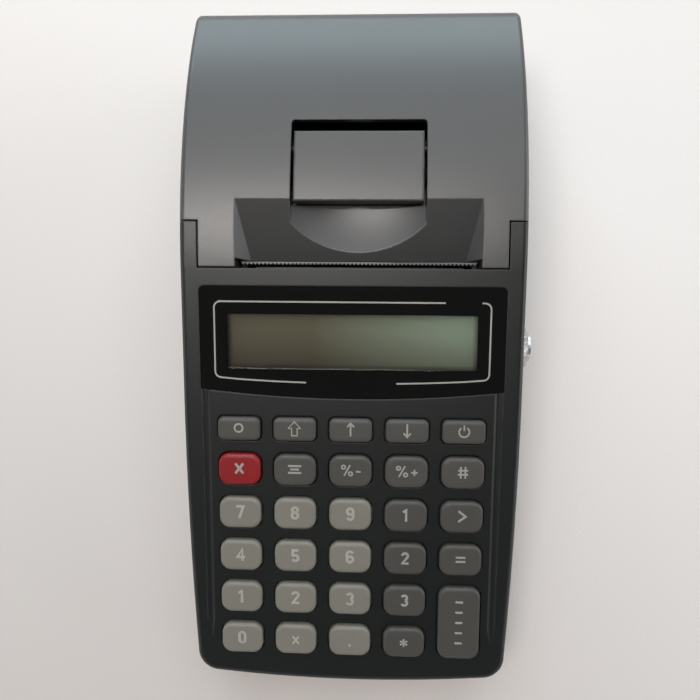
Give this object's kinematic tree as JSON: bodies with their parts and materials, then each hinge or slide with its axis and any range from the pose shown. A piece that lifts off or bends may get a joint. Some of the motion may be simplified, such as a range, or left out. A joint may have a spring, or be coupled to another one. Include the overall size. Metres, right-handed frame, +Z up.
{
  "type": "ticket register",
  "caption": "Handheld cash register with a sloped keyboard, a two-line display and a clamshell receipt printer under a hinged lid with a lift lever.",
  "frame": {"origin": "on the table, under the middle of the case (the power inlet on the right side is not counted)", "axes": "+Z up; +Y from the keyboard to the printer; +X to the right of someone who faces the keyboard"},
  "size_m": [0.0939, 0.1878, 0.0483],
  "materials": {
    "case_plastic": "fine satin",
    "lid_plastic": "fine satin",
    "lever_plastic": "fine satin",
    "lens_black": "gloss",
    "window_clear": "gloss",
    "lcd_panel": "satin",
    "board_green": "satin",
    "mat_rubber": "matt",
    "bay_plastic": "satin",
    "frame_plastic": "satin",
    "head_metal": "satin",
    "spring_steel": "satin",
    "motor_metal": "satin",
    "cell_wrap": "satin",
    "foot_rubber": "matt",
    "screw_steel": "satin",
    "jack_metal": "polished",
    "nut_metal": "polished",
    "pin_steel": "polished",
    "blade_steel": "satin",
    "bushing_plastic": "satin",
    "roller_rubber": "matt",
    "shaft_steel": "polished",
    "gear_plastic": "satin",
    "pinion_brass": "satin",
    "key_light": "satin",
    "key_dark": "satin",
    "key_red": "satin"
  },
  "bodies": {
    "base": {"bottom_case": "case_plastic", "top_case": "case_plastic", "display_lens": "lens_black", "display_window": "window_clear", "lcd_glass": "lcd_panel", "lcd_board": "board_green", "keypad_mat": "mat_rubber", "main_board": "board_green", "paper_bay": "bay_plastic", "printer_frame": "frame_plastic", "print_head": "head_metal", "head_spring": "spring_steel", "stepper_motor": "motor_metal", "battery_cells": "cell_wrap", "battery_contacts": "spring_steel", "feet": "foot_rubber", "case_screws": "screw_steel", "power_jack": "jack_metal", "jack_nut": "nut_metal", "hinge_pins": "pin_steel"},
    "lid": {"printer_lid": "lid_plastic", "cutter_blade": "blade_steel", "platen_bushings": "bushing_plastic", "lever_spring": "spring_steel"},
    "lever": {"lid_lever": "lever_plastic"},
    "platen": {"platen_roller": "roller_rubber", "platen_shaft": "shaft_steel", "platen_gear": "gear_plastic"},
    "idler": {"idler_gear": "gear_plastic"},
    "pinion": {"motor_pinion": "pinion_brass"},
    "cover": {"battery_cover": "case_plastic"},
    "key_void": {"key_void": "key_red"},
    "key_7": {"key_7": "key_light"},
    "key_8": {"key_8": "key_light"},
    "key_9": {"key_9": "key_light"},
    "key_4": {"key_4": "key_light"},
    "key_5": {"key_5": "key_light"},
    "key_6": {"key_6": "key_light"},
    "key_1": {"key_1": "key_light"},
    "key_2": {"key_2": "key_light"},
    "key_3": {"key_3": "key_light"},
    "key_0": {"key_0": "key_light"},
    "key_point": {"key_point": "key_light"},
    "key_times": {"key_times": "key_light"},
    "key_department_1": {"key_department_1": "key_dark"},
    "key_department_2": {"key_department_2": "key_dark"},
    "key_department_3": {"key_department_3": "key_dark"},
    "key_star": {"key_star": "key_dark"},
    "key_clear": {"key_clear": "key_dark"},
    "key_shift": {"key_shift": "key_dark"},
    "key_up": {"key_up": "key_dark"},
    "key_down": {"key_down": "key_dark"},
    "key_power": {"key_power": "key_dark"},
    "key_price": {"key_price": "key_dark"},
    "key_discount": {"key_discount": "key_dark"},
    "key_surcharge": {"key_surcharge": "key_dark"},
    "key_lookup": {"key_lookup": "key_dark"},
    "key_payment": {"key_payment": "key_dark"},
    "key_subtotal": {"key_subtotal": "key_dark"},
    "key_total": {"key_total": "key_dark"}
  },
  "joints": [
    {"name": "lid_hinge", "type": "hinge", "parent": "base", "child": "lid", "pos_m": [0, 0.08885, 0.03], "axis": [-1, 0, 0], "range_deg": [0, 80]},
    {"name": "lever_pivot", "type": "hinge", "parent": "lid", "child": "lever", "pos_m": [0.0015, 0.0518, 0.04304], "axis": [-1, 0, 0], "range_deg": [0, 30], "stiffness_Nm_per_rad": 0.05, "springref_deg": -17.19},
    {"name": "platen_spin", "type": "hinge", "parent": "lid", "child": "platen", "pos_m": [0.0015, 0.0271, 0.0335], "axis": [1, 0, 0], "continuous": true},
    {"name": "idler_spin", "type": "hinge", "parent": "base", "child": "idler", "pos_m": [-0.0348, 0.02639, 0.02102], "axis": [1, 0, 0], "continuous": true},
    {"name": "motor_spin", "type": "hinge", "parent": "base", "child": "pinion", "pos_m": [-0.0348, 0.01748, 0.01648], "axis": [1, 0, 0], "continuous": true},
    {"name": "battery_cover_pull", "type": "slide", "parent": "base", "child": "cover", "axis": [0, 0, -1], "range_m": [0, 0.02]},
    {"name": "key_void_press", "type": "slide", "parent": "base", "child": "key_void", "axis": [0, 0.2079, -0.9781], "range_m": [0, 0.0008], "stiffness_N_per_m": 600, "springref_m": -0.0005},
    {"name": "key_7_press", "type": "slide", "parent": "base", "child": "key_7", "axis": [0, 0.2079, -0.9781], "range_m": [0, 0.0008], "stiffness_N_per_m": 600, "springref_m": -0.0005},
    {"name": "key_8_press", "type": "slide", "parent": "base", "child": "key_8", "axis": [0, 0.2079, -0.9781], "range_m": [0, 0.0008], "stiffness_N_per_m": 600, "springref_m": -0.0005},
    {"name": "key_9_press", "type": "slide", "parent": "base", "child": "key_9", "axis": [0, 0.2079, -0.9781], "range_m": [0, 0.0008], "stiffness_N_per_m": 600, "springref_m": -0.0005},
    {"name": "key_4_press", "type": "slide", "parent": "base", "child": "key_4", "axis": [0, 0.2079, -0.9781], "range_m": [0, 0.0008], "stiffness_N_per_m": 600, "springref_m": -0.0005},
    {"name": "key_5_press", "type": "slide", "parent": "base", "child": "key_5", "axis": [0, 0.2079, -0.9781], "range_m": [0, 0.0008], "stiffness_N_per_m": 600, "springref_m": -0.0005},
    {"name": "key_6_press", "type": "slide", "parent": "base", "child": "key_6", "axis": [0, 0.2079, -0.9781], "range_m": [0, 0.0008], "stiffness_N_per_m": 600, "springref_m": -0.0005},
    {"name": "key_1_press", "type": "slide", "parent": "base", "child": "key_1", "axis": [0, 0.2079, -0.9781], "range_m": [0, 0.0008], "stiffness_N_per_m": 600, "springref_m": -0.0005},
    {"name": "key_2_press", "type": "slide", "parent": "base", "child": "key_2", "axis": [0, 0.2079, -0.9781], "range_m": [0, 0.0008], "stiffness_N_per_m": 600, "springref_m": -0.0005},
    {"name": "key_3_press", "type": "slide", "parent": "base", "child": "key_3", "axis": [0, 0.2079, -0.9781], "range_m": [0, 0.0008], "stiffness_N_per_m": 600, "springref_m": -0.0005},
    {"name": "key_0_press", "type": "slide", "parent": "base", "child": "key_0", "axis": [0, 0.2079, -0.9781], "range_m": [0, 0.0008], "stiffness_N_per_m": 600, "springref_m": -0.0005},
    {"name": "key_point_press", "type": "slide", "parent": "base", "child": "key_point", "axis": [0, 0.2079, -0.9781], "range_m": [0, 0.0008], "stiffness_N_per_m": 600, "springref_m": -0.0005},
    {"name": "key_times_press", "type": "slide", "parent": "base", "child": "key_times", "axis": [0, 0.2079, -0.9781], "range_m": [0, 0.0008], "stiffness_N_per_m": 600, "springref_m": -0.0005},
    {"name": "key_department_1_press", "type": "slide", "parent": "base", "child": "key_department_1", "axis": [0, 0.2079, -0.9781], "range_m": [0, 0.0008], "stiffness_N_per_m": 600, "springref_m": -0.0005},
    {"name": "key_department_2_press", "type": "slide", "parent": "base", "child": "key_department_2", "axis": [0, 0.2079, -0.9781], "range_m": [0, 0.0008], "stiffness_N_per_m": 600, "springref_m": -0.0005},
    {"name": "key_department_3_press", "type": "slide", "parent": "base", "child": "key_department_3", "axis": [0, 0.2079, -0.9781], "range_m": [0, 0.0008], "stiffness_N_per_m": 600, "springref_m": -0.0005},
    {"name": "key_star_press", "type": "slide", "parent": "base", "child": "key_star", "axis": [0, 0.2079, -0.9781], "range_m": [0, 0.0008], "stiffness_N_per_m": 600, "springref_m": -0.0005},
    {"name": "key_clear_press", "type": "slide", "parent": "base", "child": "key_clear", "axis": [0, 0.2079, -0.9781], "range_m": [0, 0.0008], "stiffness_N_per_m": 600, "springref_m": -0.0005},
    {"name": "key_shift_press", "type": "slide", "parent": "base", "child": "key_shift", "axis": [0, 0.2079, -0.9781], "range_m": [0, 0.0008], "stiffness_N_per_m": 600, "springref_m": -0.0005},
    {"name": "key_up_press", "type": "slide", "parent": "base", "child": "key_up", "axis": [0, 0.2079, -0.9781], "range_m": [0, 0.0008], "stiffness_N_per_m": 600, "springref_m": -0.0005},
    {"name": "key_down_press", "type": "slide", "parent": "base", "child": "key_down", "axis": [0, 0.2079, -0.9781], "range_m": [0, 0.0008], "stiffness_N_per_m": 600, "springref_m": -0.0005},
    {"name": "key_power_press", "type": "slide", "parent": "base", "child": "key_power", "axis": [0, 0.2079, -0.9781], "range_m": [0, 0.0008], "stiffness_N_per_m": 600, "springref_m": -0.0005},
    {"name": "key_price_press", "type": "slide", "parent": "base", "child": "key_price", "axis": [0, 0.2079, -0.9781], "range_m": [0, 0.0008], "stiffness_N_per_m": 600, "springref_m": -0.0005},
    {"name": "key_discount_press", "type": "slide", "parent": "base", "child": "key_discount", "axis": [0, 0.2079, -0.9781], "range_m": [0, 0.0008], "stiffness_N_per_m": 600, "springref_m": -0.0005},
    {"name": "key_surcharge_press", "type": "slide", "parent": "base", "child": "key_surcharge", "axis": [0, 0.2079, -0.9781], "range_m": [0, 0.0008], "stiffness_N_per_m": 600, "springref_m": -0.0005},
    {"name": "key_lookup_press", "type": "slide", "parent": "base", "child": "key_lookup", "axis": [0, 0.2079, -0.9781], "range_m": [0, 0.0008], "stiffness_N_per_m": 600, "springref_m": -0.0005},
    {"name": "key_payment_press", "type": "slide", "parent": "base", "child": "key_payment", "axis": [0, 0.2079, -0.9781], "range_m": [0, 0.0008], "stiffness_N_per_m": 600, "springref_m": -0.0005},
    {"name": "key_subtotal_press", "type": "slide", "parent": "base", "child": "key_subtotal", "axis": [0, 0.2079, -0.9781], "range_m": [0, 0.0008], "stiffness_N_per_m": 600, "springref_m": -0.0005},
    {"name": "key_total_press", "type": "slide", "parent": "base", "child": "key_total", "axis": [0, 0.2079, -0.9781], "range_m": [0, 0.0008], "stiffness_N_per_m": 600, "springref_m": -0.0005}
  ],
  "couplings": [
    {"joint": "idler_spin", "follows": "platen_spin", "ratio": -0.92308},
    {"joint": "motor_spin", "follows": "platen_spin", "ratio": 1.7143}
  ]
}
